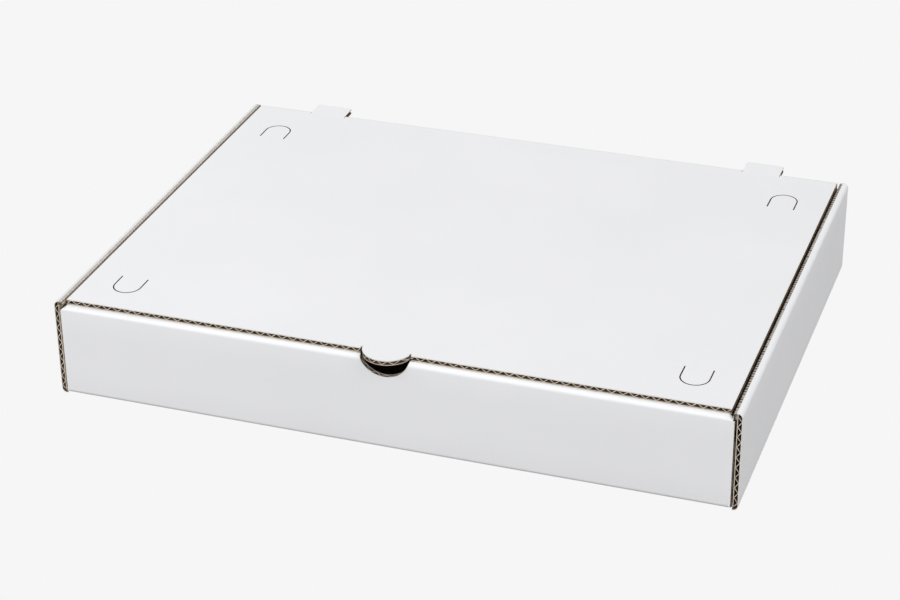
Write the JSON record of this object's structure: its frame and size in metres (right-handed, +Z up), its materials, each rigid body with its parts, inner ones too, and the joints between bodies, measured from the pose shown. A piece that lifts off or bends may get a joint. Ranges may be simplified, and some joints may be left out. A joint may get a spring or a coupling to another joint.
{
  "type": "pizza box",
  "caption": "Flat carton for a pizza with rolled side walls, a double front wall with a thumb notch and a hinged lid with a tongue.",
  "frame": {"origin": "under the box, in the middle of its outline with the thumb tongue and the hinge tabs, on the surface that it stands on", "axes": "+X across the front to the right, +Y from the front to the back, +Z up"},
  "size_m": [0.4, 0.307, 0.0605],
  "materials": {
    "tray_board": "matt white liner",
    "lid_board": "matt white liner"
  },
  "bodies": {
    "tray": {"tray": "tray_board"},
    "lid": {"lid": "lid_board"}
  },
  "joints": [
    {"name": "lid_hinge", "type": "hinge", "parent": "tray", "child": "lid", "pos_m": [0, 0.14232, 0.05962], "axis": [-1, 0, 0], "range_deg": [0, 180]}
  ]
}
